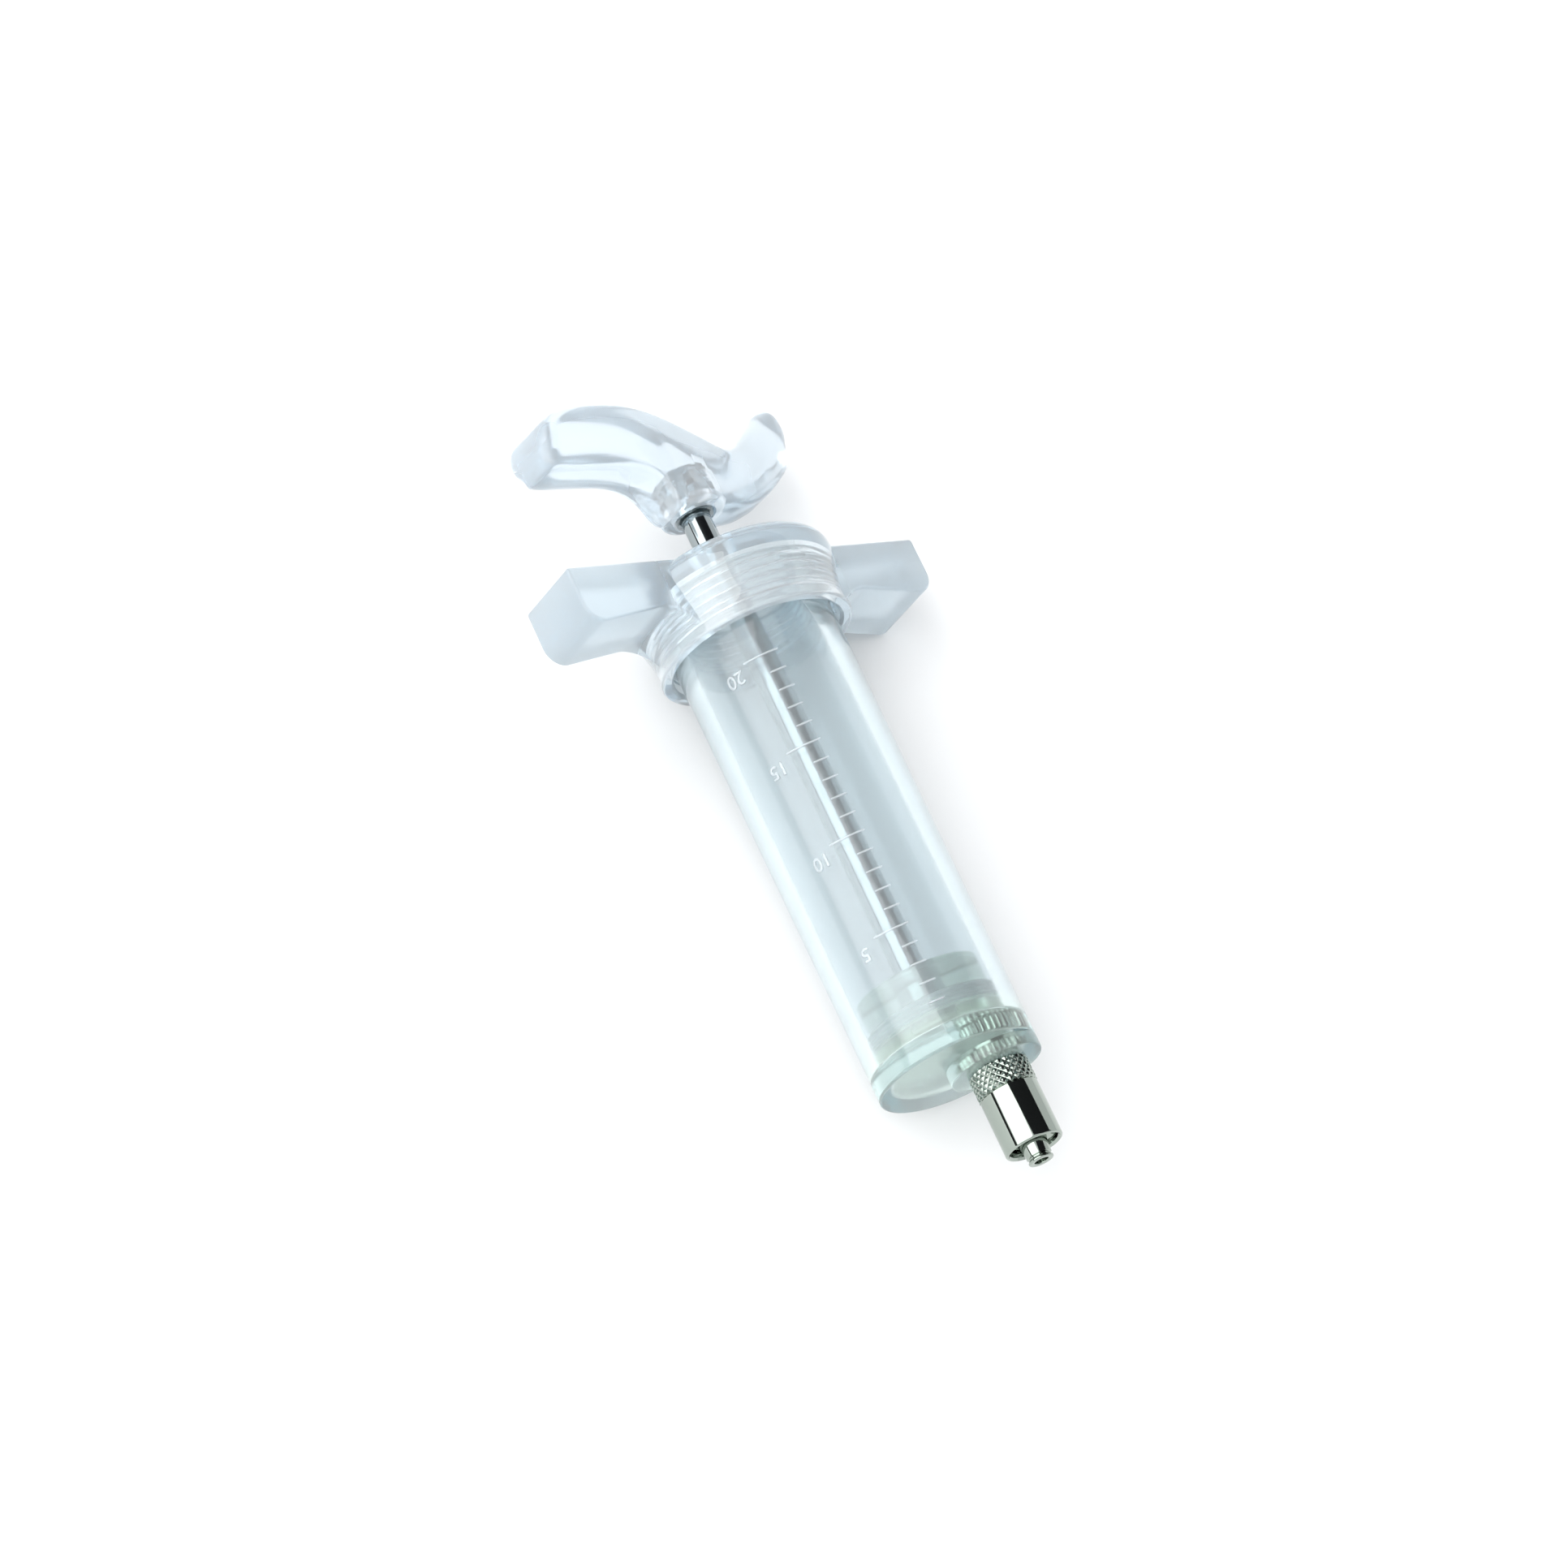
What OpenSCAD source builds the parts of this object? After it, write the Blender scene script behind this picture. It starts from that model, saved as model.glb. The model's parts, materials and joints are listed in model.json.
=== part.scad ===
// Reusable 20 ml hand injector, lying on its collar and one finger wing.
// Every sub-part is drawn upright in the injector's own axis frame: z runs along the barrel from its
// front face towards the handle, +x faces the graduation and +y faces the nozzle boss.
// lay() then puts the injector on the ground, nozzle towards +X.

/* [Barrel] */
// Bore diameter
bore_d = 20; // [19.5:0.1:21]
// Outside diameter at the front face
barrel_front_d = 25.1; // [24.6:0.1:26]
// Outside diameter at the rear rim
barrel_rear_d = 25.9; // [25.2:0.1:26.2]
// Thickness of the front wall
floor_t = 4; // [3.5:0.5:5]
// Height of the rear rim above the front face
barrel_h = 84; // [82:0.5:84]
// Volume of one full stroke in millilitres, one graduation mark for each
stroke_ml = 20; // [10:1:20]

/* [Nozzle] */
// Distance of the nozzle from the barrel axis
nozzle_offset = 5.3; // [4:0.1:6]
// How far the eccentric boss stands in front of the barrel
boss_h = 2.2; // [1.5:0.1:3]
// Outside diameter of the lock collar
collar_d = 9.3; // [9:0.1:9.8]
// Length of the lock collar
collar_h = 13.2; // [10:0.2:14]
// Height of the diamond-knurled band of the collar
knurl_band_h = 4; // [2:0.5:6]
// Diameter of the luer tip
luer_d = 3.95; // [3.9:0.01:4]
// How far the luer tip stands out of the collar
luer_stand_out = 2.4; // [1:0.1:3]

/* [Grip cap] */
// Largest diameter of the cap
cap_d = 33.6; // [33:0.2:35]
// Height of the cap
cap_h = 13.7; // [13:0.1:14.5]
// Distance from the axis to each wing's end
wing_span = 33.8; // [30:0.2:36]
// Width of each wing
wing_w = 12.8; // [11:0.2:14]
// Height of each wing at its end
wing_tip_h = 9.6; // [8:0.2:11]
// Angle of the wings from the graduation
wing_angle = 133.8; // [125:0.2:140]

/* [Plunger] */
// Diameter of the rod
rod_d = 4.7; // [4.4:0.1:4.8]
// Width across the flats of the lock nut
nut_af = 6; // [5.6:0.1:6.4]
// Angle of the handle from the graduation
handle_angle = -40; // [-46:1:-39]
// Width of the handle
handle_w = 11; // [10.5:0.5:11.5]

/* [Hidden] */
$fn = 96;
eps = 0.01;

// Running clearances between pieces that move on each other
slide_gap = 0.08;
face_gap = 0.05;

// Barrel
bore_r = bore_d / 2;
barrel_front_r = barrel_front_d / 2;
barrel_rear_r = barrel_rear_d / 2;
boss_r = barrel_front_r - nozzle_offset;
edge_r = 0.4;
mark_root = 1;
thread_pitch = 1.5;
thread_turns = 5;
thread_h = 0.5;
thread_flat = 0.1;
thread_first_z = barrel_h - 6.8;
ml_h = 1000 / (PI * bore_r * bore_r);
mark_h = 0.3;
mark_relief = 0.12;
mark_right_y = 2.9;
mark_short = 2.5;
mark_long = 5.6;

// Nozzle, along its own axis
spigot_knurl_r = 3.8;
spigot_ribs = 28;
neck_r = 2.9;
nozzle_bore_r = 1.1;
collar_r = collar_d / 2;
collar_inner_r = 3.85;
collar_rim_round = 0.5;
collar_step = 0.1;
collar_web_h = 3;
collar_top_z = -boss_h - face_gap;
neck_end_z = collar_top_z - collar_web_h;
collar_end_z = collar_top_z - collar_h;
luer_end_z = collar_end_z - luer_stand_out;
luer_r = luer_d / 2;

// Cap
cap_r = cap_d / 2;
cap_top_z = barrel_h + 3.5;
cap_bottom_z = cap_top_z - cap_h;
cap_round = 3;
skirt_r = 15.4;
lip_r = 15.7;
thread_bore_r = barrel_rear_r + thread_h + 0.25;
rod_hole_r = rod_d / 2 + slide_gap;
wing_arch = 1.5;
wing_root_fillet = 7;
wing_root_x = 13.2;
wing_base_z = cap_bottom_z + 0.8;
wing_tip_round = 2.2;

// Piston
piston_z = floor_t + 0.2;
piston_front_h = 2.4;
seal_h = 2.6;
follower_h = 5.2;
piston_r = bore_r - 0.12;
follower_r = 9.45;
seal_r = bore_r - 0.05;
groove_r = 7.6;
groove_z = piston_z + piston_front_h;
anchor_z = 6.8;
anchor_h = 2.3;
anchor_r = 2.45;
anchor_core_r = 1.6;

// Rod and handle
mouth_z = 98.1;
nut_h = 2.5;
nut_gap = 0.1;
rod_thread_r = 2;
insert_z = mouth_z + nut_h;
insert_h = 5.1;
insert_af = 5.8;
insert_waist_r = 2.6;
handle_boss_r = 5.4;
crest_z = 116.3;
handle_left_tip_r = 3.6;
handle_right_tip_r = 5;
handle_left_x = 29;
handle_right_x = -25;
// Side outline of the handle as [distance along the arms, height above the front face]
handle_top = [[handle_left_x, 107.4], [handle_left_x, 110.6], [26.5, 113.4], [23.5, 114.9], [19, 116],
              [14, crest_z], [9, 116], [4.5, 114.8], [0.5, 112.9], [-3.5, 110.6], [-7.5, 108.4],
              [-11, 108.9], [-14.5, 111.6], [-18, 114.4], [-21, 115.6], [-23.4, 115.2]];
handle_underside = [[handle_right_x, 113], [handle_right_x, 110.4], [-23, 106.8], [-20, 104], [-15.5, 101],
                    [-11, 99.2], [-6, 98.3], [-2, mouth_z], [4.2, mouth_z], [5.2, 98.6], [6.6, 102],
                    [8.7, 104.2], [12.5, 105.3], [18, 105.4], [25, 105.2], [28, 105.6]];

// Ground frame: the cap and one wing tip touch the ground
wing_reach = norm([wing_span, wing_w / 2]);
wing_dip = asin(cap_r / wing_reach) - atan(wing_w / 2 / wing_span);
lie_roll = wing_angle - 90 - wing_dip;
mid_z = (crest_z + luer_end_z) / 2;

// Puts the upright injector on the ground
module lay() {
    translate([mid_z, 0, cap_r]) rotate([0, -90, 0]) rotate([0, 0, -lie_roll]) children();
}

module at_nozzle() {
    translate([0, nozzle_offset, 0]) children();
}

// Point on a Catmull-Rom curve between b and c
function curve_point(a, b, c, d, t) =
    0.5 * (2 * b + (c - a) * t + (2 * a - 5 * b + 4 * c - d) * t * t + (3 * b - a - 3 * c + d) * t * t * t);

// Closed smooth outline through the points
function smooth_outline(points, steps) =
    let (n = len(points))
    [for (i = [0:n - 1], k = [0:steps - 1])
        curve_point(points[(i + n - 1) % n], points[i], points[(i + 1) % n], points[(i + 2) % n], k / steps)];

function hex_r(across_flats) = across_flats / 2 / cos(30);

module ring(r_out, r_in, h) {
    difference() {
        cylinder(r = r_out, h = h);
        translate([0, 0, -eps]) cylinder(r = r_in, h = h + 2 * eps);
    }
}

function barrel_r(z) = barrel_front_r + (barrel_rear_r - barrel_front_r) * z / barrel_h;

// One raised graduation line, ending at the same right-hand edge as the others
module mark(ml) {
    z = floor_t + ml * ml_h;
    r = barrel_r(z);
    length = ml % 5 == 0 ? mark_long : mark_short;
    right_angle = asin(mark_right_y / r);
    rotate([0, 0, right_angle - length / r * 180 / PI]) rotate_extrude(angle = length / r * 180 / PI)
        translate([r - mark_root, z - mark_h / 2]) square([mark_root + mark_relief, mark_h]);
}

module barrel() {
    color([0.86, 0.9, 0.93, 0.5]) lay() difference() {
        union() {
            rotate_extrude() polygon([[0, 0], [barrel_front_r - edge_r, 0], [barrel_front_r, edge_r],
                                      [barrel_rear_r, barrel_h], [0, barrel_h]]);
            at_nozzle() translate([0, 0, -boss_h]) cylinder(r1 = boss_r - edge_r, r2 = boss_r, h = edge_r);
            at_nozzle() translate([0, 0, edge_r - boss_h]) cylinder(r = boss_r, h = boss_h);
            for (turn = [0:thread_turns - 1])
                translate([0, 0, thread_first_z + turn * thread_pitch]) thread_ridge();
            for (ml = [1:stroke_ml]) mark(ml);
        }
        translate([0, 0, floor_t]) cylinder(r = bore_r, h = barrel_h);
        at_nozzle() translate([0, 0, -boss_h - 1]) cylinder(r = spigot_knurl_r, h = boss_h + floor_t + 2);
    }
}

module thread_ridge() {
    root_r = bore_r + 1;
    crest_r = barrel_rear_r + thread_h;
    rotate_extrude() polygon([[root_r, -thread_h], [barrel_rear_r, -thread_h], [crest_r, -thread_flat],
                              [crest_r, thread_flat], [barrel_rear_r, thread_h], [root_r, thread_h]]);
}

module nozzle_spigot() {
    rib_w = PI * spigot_knurl_r / spigot_ribs;
    color("silver") lay() at_nozzle() difference() {
        union() {
            translate([0, 0, -boss_h]) cylinder(r = spigot_knurl_r, h = boss_h + floor_t);
            translate([0, 0, neck_end_z]) cylinder(r = neck_r, h = collar_web_h + face_gap + eps);
            translate([0, 0, luer_end_z]) cylinder(r = luer_r, h = neck_end_z - luer_end_z + eps);
        }
        for (rib = [0:spigot_ribs - 1])
            rotate([0, 0, rib * 360 / spigot_ribs]) translate([spigot_knurl_r, 0, -boss_h / 2])
                rotate([0, 0, 45]) cube([rib_w / 2, rib_w / 2, floor_t], center = true);
        translate([0, 0, luer_end_z - 1]) cylinder(r = nozzle_bore_r, h = floor_t - luer_end_z + 2);
    }
}

module lock_collar() {
    color("silver") lay() at_nozzle() translate([0, 0, collar_end_z]) difference() {
        union() {
            cylinder(r1 = collar_r - collar_rim_round, r2 = collar_r - collar_step, h = collar_rim_round);
            translate([0, 0, collar_rim_round])
                cylinder(r = collar_r - collar_step, h = collar_h - collar_rim_round);
            translate([0, 0, collar_h - knurl_band_h]) cylinder(r = collar_r, h = knurl_band_h);
        }
        translate([0, 0, -1]) cylinder(r = collar_inner_r, h = collar_h - collar_web_h + 1);
        cylinder(r = neck_r + slide_gap, h = collar_h + 1);
    }
}

// Half outline of one wing in side view, from the axis to its end
module wing_side() {
    tip_z = cap_top_z - wing_tip_h;
    arch_z = tip_z + wing_arch;
    fillet_x = wing_root_x + wing_root_fillet;
    fillet_z = arch_z - wing_root_fillet;
    tip_x = wing_span - wing_tip_round;
    difference() {
        union() {
            polygon([[0, wing_base_z], [fillet_x, wing_base_z], [fillet_x, arch_z], [tip_x, tip_z],
                     [tip_x, tip_z + wing_tip_round], [wing_span, tip_z + wing_tip_round],
                     [wing_span, cap_top_z], [0, cap_top_z]]);
            translate([tip_x, tip_z + wing_tip_round]) circle(r = wing_tip_round);
        }
        translate([fillet_x, fillet_z]) circle(r = wing_root_fillet);
    }
}

module wing_pair() {
    for (side = [0, 180])
        rotate([0, 0, wing_angle + side]) translate([0, wing_w / 2, 0]) rotate([90, 0, 0])
            linear_extrude(wing_w) wing_side();
}

module grip_cap() {
    color([0.84, 0.89, 0.93, 0.5]) lay() difference() {
        union() {
            rotate_extrude() difference() {
                union() {
                    polygon([[0, cap_bottom_z], [lip_r - 0.5, cap_bottom_z], [lip_r, cap_bottom_z + 0.7],
                             [skirt_r, cap_bottom_z + 2.4], [cap_r, cap_top_z - cap_round - 1],
                             [cap_r, cap_top_z - cap_round], [cap_r - cap_round, cap_top_z - cap_round],
                             [cap_r - cap_round, cap_top_z], [0, cap_top_z]]);
                    translate([cap_r - cap_round, cap_top_z - cap_round]) circle(r = cap_round);
                }
            }
            wing_pair();
        }
        translate([0, 0, cap_bottom_z - 1]) cylinder(r = thread_bore_r, h = barrel_h - cap_bottom_z + 1);
        translate([0, 0, cap_bottom_z]) cylinder(r = rod_hole_r, h = cap_h + 1);
    }
}

module piston() {
    color([0.85, 0.92, 0.9, 0.5]) lay() rotate_extrude()
        polygon([[0, piston_z], [piston_r - edge_r, piston_z], [piston_r, piston_z + edge_r],
                 [piston_r, groove_z], [groove_r, groove_z], [groove_r, groove_z + seal_h],
                 [follower_r, groove_z + seal_h], [follower_r, groove_z + seal_h + follower_h - edge_r],
                 [follower_r - edge_r, groove_z + seal_h + follower_h],
                 [rod_d / 2, groove_z + seal_h + follower_h], [rod_d / 2, anchor_z + anchor_h],
                 [anchor_r, anchor_z + anchor_h], [anchor_r, anchor_z], [0, anchor_z]]);
}

module piston_seal() {
    color([0.9, 0.93, 0.92, 0.8]) lay() translate([0, 0, groove_z + face_gap])
        ring(seal_r, groove_r + slide_gap, seal_h - 2 * face_gap);
}

module piston_anchor() {
    color("silver") lay() translate([0, 0, anchor_z]) ring(anchor_r, anchor_core_r, anchor_h);
}

module plunger_rod() {
    color("silver") lay() union() {
        translate([0, 0, anchor_z]) cylinder(r = anchor_core_r, h = anchor_h + eps);
        translate([0, 0, anchor_z + anchor_h]) cylinder(r = rod_d / 2, h = mouth_z - anchor_z - anchor_h);
        translate([0, 0, mouth_z - eps]) cylinder(r = rod_thread_r, h = nut_h + insert_h - 1.5);
    }
}

module hex_ring(across_flats, r_in, h) {
    difference() {
        cylinder(r = hex_r(across_flats), h = h, $fn = 6);
        translate([0, 0, -eps]) cylinder(r = r_in, h = h + 2 * eps);
    }
}

module lock_nut() {
    color("silver") lay() rotate([0, 0, -lie_roll]) translate([0, 0, mouth_z])
        hex_ring(nut_af, rod_thread_r, nut_h);
}

// Solid outline of the hexagonal insert, with its waist
module insert_solid() {
    flange_h = insert_h / 3;
    translate([0, 0, insert_z]) cylinder(r = hex_r(insert_af), h = flange_h, $fn = 6);
    translate([0, 0, insert_z + flange_h - eps]) cylinder(r = insert_waist_r, h = flange_h + 2 * eps);
    translate([0, 0, insert_z + 2 * flange_h]) cylinder(r = hex_r(insert_af), h = flange_h, $fn = 6);
}

module handle_insert() {
    color("silver") lay() difference() {
        insert_solid();
        translate([0, 0, insert_z - 1]) cylinder(r = rod_thread_r, h = insert_h - 0.5);
    }
}

// Plan outline of the handle: a bar with rounded corners, rounder at its short end
module handle_plan() {
    half_w = handle_w / 2;
    left_w = half_w - handle_left_tip_r;
    right_w = half_w - handle_right_tip_r;
    left_x = handle_left_x - handle_left_tip_r;
    right_x = handle_right_x + handle_right_tip_r;
    polygon([[left_x, half_w], [handle_left_x, left_w], [handle_left_x, -left_w], [left_x, -half_w],
             [right_x, -half_w], [handle_right_x, -right_w], [handle_right_x, right_w], [right_x, half_w]]);
    for (side = [-1, 1]) {
        translate([left_x, side * left_w]) circle(r = handle_left_tip_r);
        translate([right_x, side * right_w]) circle(r = handle_right_tip_r);
    }
}

module handle() {
    color([0.84, 0.89, 0.93, 0.5]) lay() difference() {
        rotate([0, 0, handle_angle]) union() {
            intersection() {
                translate([0, handle_w, 0]) rotate([90, 0, 0]) linear_extrude(2 * handle_w)
                    polygon(smooth_outline(concat(handle_top, handle_underside), 4));
                translate([0, 0, mouth_z]) linear_extrude(crest_z - mouth_z + 1) handle_plan();
            }
            translate([0, 0, mouth_z]) cylinder(r = handle_boss_r, h = nut_h + insert_h);
        }
        insert_solid();
        translate([0, 0, mouth_z - 1]) cylinder(r = hex_r(nut_af) + nut_gap, h = nut_h + 1);
    }
}

barrel();
nozzle_spigot();
lock_collar();
grip_cap();
piston();
piston_seal();
piston_anchor();
plunger_rod();
lock_nut();
handle_insert();
handle();
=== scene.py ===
import json
import math

import bmesh
import bpy
from mathutils import Matrix, Quaternion, Vector


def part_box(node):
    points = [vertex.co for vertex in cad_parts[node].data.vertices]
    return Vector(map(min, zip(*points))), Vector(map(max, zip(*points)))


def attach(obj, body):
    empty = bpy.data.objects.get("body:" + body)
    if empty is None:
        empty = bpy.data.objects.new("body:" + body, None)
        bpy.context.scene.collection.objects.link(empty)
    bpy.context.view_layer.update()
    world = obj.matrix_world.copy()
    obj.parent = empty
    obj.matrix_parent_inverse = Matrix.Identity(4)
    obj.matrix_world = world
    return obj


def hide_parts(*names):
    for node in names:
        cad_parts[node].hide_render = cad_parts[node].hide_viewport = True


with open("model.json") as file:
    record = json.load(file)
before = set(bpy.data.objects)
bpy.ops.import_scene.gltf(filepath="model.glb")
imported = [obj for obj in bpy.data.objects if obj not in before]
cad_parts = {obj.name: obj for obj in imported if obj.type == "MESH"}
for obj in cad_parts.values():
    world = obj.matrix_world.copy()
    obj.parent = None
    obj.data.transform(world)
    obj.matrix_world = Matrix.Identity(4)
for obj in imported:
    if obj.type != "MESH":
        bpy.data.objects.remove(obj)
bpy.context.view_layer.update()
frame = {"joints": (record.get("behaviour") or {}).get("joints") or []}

# The injector's pieces are built upright in millimetres, in its own axis frame: z runs along the barrel
# from its front face towards the handle, +x faces the graduation and +y faces the nozzle. PLACE lays them
# on the ground where the frame's barrel, plunger and collar joint are.
MM = 0.001
BOSS_H = 2.2
joints = {joint["name"]: joint for joint in frame["joints"]}
axis_point = Vector(joints["plunger_turn"]["pos_m"])
nozzle_point = Vector(joints["collar_turn"]["pos_m"])
offset = nozzle_point - axis_point
ROLL = math.atan2(offset.z, offset.y)
NOZZLE_OFFSET = math.hypot(offset.y, offset.z) / MM
FRONT_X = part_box("barrel")[1].x - BOSS_H * MM
BARREL_H = (FRONT_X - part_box("barrel")[0].x) / MM
PLACE = Matrix((
    (0, 0, -MM, FRONT_X),
    (-math.sin(ROLL) * MM, math.cos(ROLL) * MM, 0, axis_point.y),
    (math.cos(ROLL) * MM, math.sin(ROLL) * MM, 0, axis_point.z),
    (0, 0, 0, 1),
))

# Barrel
BORE_R = 10
BARREL_FRONT_R = 12.55
BARREL_REAR_R = 12.95
FLOOR_T = 4
EDGE_R = 0.5
THREAD_PITCH = 1.5
THREAD_H = 0.5
THREAD_START = BARREL_H - 8
STROKE_ML = 20
ML_H = 1000 / (math.pi * BORE_R ** 2)

# Cap
CAP_R = 16.78
CAP_TOP = BARREL_H + 3.5
CAP_BOTTOM = CAP_TOP - 13.7
CAP_ROUND = 3
CAP_BORE_R = 13.7
ROD_HOLE_R = 2.45
WING_ANGLE = math.radians(133.8)
WING_SPAN = 33.8
WING_W = 12.8
WING_TIP_H = 9.6
WING_ARCH = 1.5
WING_ROOT_X = 13.2
WING_ROOT_FILLET = 7
WING_TIP_ROUND = 3.2
WING_BEVEL = 1.5
WING_BASE = CAP_BOTTOM + 0.8

# Plunger
ROD_R = 2.35
PISTON_FRONT = FLOOR_T + 0.2
PISTON_BACK = PISTON_FRONT + 10.2
PISTON_FRONT_H = 2.4
GROOVE_R = 7.6
FOLLOWER_R = 9.45
FOLLOWER_Z = PISTON_FRONT + 5
SEAL_Z = PISTON_FRONT + PISTON_FRONT_H + 0.05
SEAL_H = 2.5
ANCHOR_Z = 6.8
ANCHOR_H = 2.3
ANCHOR_R = 2.45
MOUTH_Z = 98.1
NUT_H = 2.5
INSERT_Z = MOUTH_Z + NUT_H
INSERT_H = 5.1

# Nozzle
COLLAR_TOP = -BOSS_H - 0.05
COLLAR_H = 13.2
COLLAR_R = 4.65
COLLAR_END = COLLAR_TOP - COLLAR_H
COLLAR_WEB = 3
KNURL_BAND = 4
SPIGOT_R = 3.8
LUER_R = 1.975
LUER_END = COLLAR_END - 2.4


# Shapes

def piece(name, bm, sharp_angle=32):
    """A mesh object from a bmesh in the upright millimetre frame, smooth but for its sharp edges."""
    bmesh.ops.remove_doubles(bm, verts=bm.verts, dist=1e-4)
    bmesh.ops.recalc_face_normals(bm, faces=bm.faces)
    mesh = bpy.data.meshes.new(name)
    bm.to_mesh(mesh)
    bm.free()
    obj = bpy.data.objects.new(name, mesh)
    bpy.context.scene.collection.objects.link(obj)
    soften(obj, sharp_angle)
    return obj


def soften(obj, sharp_angle):
    """Shades the mesh smooth and marks the edges that bend more than sharp_angle degrees as sharp."""
    bm = bmesh.new()
    bm.from_mesh(obj.data)
    for face in bm.faces:
        face.smooth = True
    for edge in bm.edges:
        edge.smooth = not edge.is_manifold or edge.calc_face_angle(0) < math.radians(sharp_angle)
    bm.to_mesh(obj.data)
    bm.free()


def sweep(rings, capped):
    """A closed bmesh through rings of points, either capped at both ends or joined up into a loop."""
    bm = bmesh.new()
    rows = [[bm.verts.new(point) for point in ring] for ring in rings]
    count = len(rows[0])
    pairs = list(zip(rows, rows[1:]))
    if not capped:
        pairs.append((rows[-1], rows[0]))
    for low, high in pairs:
        for i in range(count):
            j = (i + 1) % count
            bm.faces.new((low[i], low[j], high[j], high[i]))
    if capped:
        bm.faces.new(rows[0])
        bm.faces.new(rows[-1])
    return bm


def lathe(profile, segments=128, radius=None, centre_y=0, capped=False):
    """Turns a profile of (r, z) points. radius(angle, r, z) may shape each point further."""
    rings = []
    for r, z in profile:
        ring = []
        for i in range(segments):
            angle = 2 * math.pi * i / segments
            here = radius(angle, r, z) if radius else r
            ring.append((here * math.cos(angle), centre_y + here * math.sin(angle), z))
        rings.append(ring)
    return sweep(rings, capped)


def arc(centre_r, centre_z, r, start, end, steps=8):
    """Profile points on an arc, from start to end degrees."""
    angles = [math.radians(start + (end - start) * i / steps) for i in range(steps + 1)]
    return [(centre_r + r * math.cos(a), centre_z + r * math.sin(a)) for a in angles]


def column(r_start, r_end, z_start, z_end, steps):
    """Profile points along a straight side, close enough together for a thread or a knurl."""
    return [(r_start + (r_end - r_start) * i / steps, z_start + (z_end - z_start) * i / steps)
            for i in range(steps + 1)]


def between(p, q, r, s, t):
    """The Catmull-Rom value a share t of the way from q to r."""
    square = 2 * p - 5 * q + 4 * r - s
    cube = 3 * q - p - 3 * r + s
    return 0.5 * (2 * q + (r - p) * t + square * t * t + cube * t ** 3)


def smooth_curve(points, steps):
    """Points on a Catmull-Rom curve through an open row of points."""
    ends = [points[0]] + list(points) + [points[-1]]
    made = []
    for a, b, c, d in zip(ends, ends[1:], ends[2:], ends[3:]):
        for k in range(steps):
            t = k / steps
            made.append(tuple(between(p, q, r, s, t) for p, q, r, s in zip(a, b, c, d)))
    made.append(tuple(points[-1]))
    return made


def thread_wave(angle, z, pitch):
    """0 in the root and 1 on the crest of a right-handed thread with flattened crests."""
    along = (z / pitch - angle / (2 * math.pi)) % 1
    return min(1, max(0, 1.7 * (1 - abs(2 * along - 1)) - 0.35))


def fade(z, start, end, length):
    """Rises from 0 to 1 over length after start, and falls again before end."""
    return min(1, max(0, (z - start) / length), max(0, (end - z) / length))


def diamond(angle, z, around, pitch):
    """Height of a diamond knurl: 1 on each point and 0 in the grooves."""
    u = around * angle / (2 * math.pi) + z / pitch
    v = around * angle / (2 * math.pi) - z / pitch
    return 1 - max(abs(2 * (u % 1) - 1), abs(2 * (v % 1) - 1))


def boolean(obj, tool, operation, sharp_angle=32):
    """Joins tool to obj or cuts it away, and removes tool."""
    modifier = obj.modifiers.new("cut", "BOOLEAN")
    modifier.operation = operation
    modifier.solver = "EXACT"
    modifier.object = tool
    made = bpy.data.meshes.new_from_object(obj.evaluated_get(bpy.context.evaluated_depsgraph_get()))
    obj.modifiers.remove(modifier)
    obj.data = made
    bpy.data.objects.remove(tool)
    soften(obj, sharp_angle)


def settle(obj, body, material, slot, *nodes):
    """Lays a finished piece on the ground, gives it its material, joins it to its CAD body and hides the CAD
    nodes it replaces.
    """
    obj.data.transform(PLACE)
    obj.data.materials.clear()
    obj.data.materials.append(material)
    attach(obj, body)
    if nodes:
        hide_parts(*nodes)


# Materials

def noise_node(nodes, links, scale, detail):
    """Noise in the object's own coordinates, so that it stays on the piece as the piece moves."""
    coordinates = nodes.new("ShaderNodeTexCoord")
    noise = nodes.new("ShaderNodeTexNoise")
    noise.inputs["Scale"].default_value = scale
    noise.inputs["Detail"].default_value = detail
    links.new(coordinates.outputs["Object"], noise.inputs["Vector"])
    return noise


def ranged(nodes, links, source, low, high):
    """A 0 to 1 value mapped to low and high."""
    mapped = nodes.new("ShaderNodeMapRange")
    mapped.inputs["To Min"].default_value = low
    mapped.inputs["To Max"].default_value = high
    links.new(source, mapped.inputs["Value"])
    return mapped.outputs["Result"]


def rise(nodes, links, source, start, end, low=0, high=1):
    """Goes from low to high as a value goes from start to end, and stays level outside them."""
    mapped = nodes.new("ShaderNodeMapRange")
    mapped.interpolation_type = "SMOOTHSTEP"
    mapped.inputs["From Min"].default_value = start
    mapped.inputs["From Max"].default_value = end
    mapped.inputs["To Min"].default_value = low
    mapped.inputs["To Max"].default_value = high
    links.new(source, mapped.inputs["Value"])
    return mapped.outputs["Result"]


def mixed(nodes, links, factor, low_colour, high_colour):
    """A colour that goes from low_colour to high_colour as factor goes from 0 to 1."""
    tone = nodes.new("ShaderNodeMix")
    tone.data_type = "RGBA"
    tone.inputs["A"].default_value = (*low_colour, 1)
    tone.inputs["B"].default_value = (*high_colour, 1)
    links.new(factor, tone.inputs["Factor"])
    return tone.outputs["Result"]


def add_bump(nodes, links, height, strength, distance):
    """Roughens the shader's surface by a height from 0 to 1."""
    bump = nodes.new("ShaderNodeBump")
    bump.inputs["Strength"].default_value = strength
    bump.inputs["Distance"].default_value = distance
    links.new(height, bump.inputs["Height"])
    links.new(bump.outputs["Normal"], nodes["Principled BSDF"].inputs["Normal"])


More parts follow.
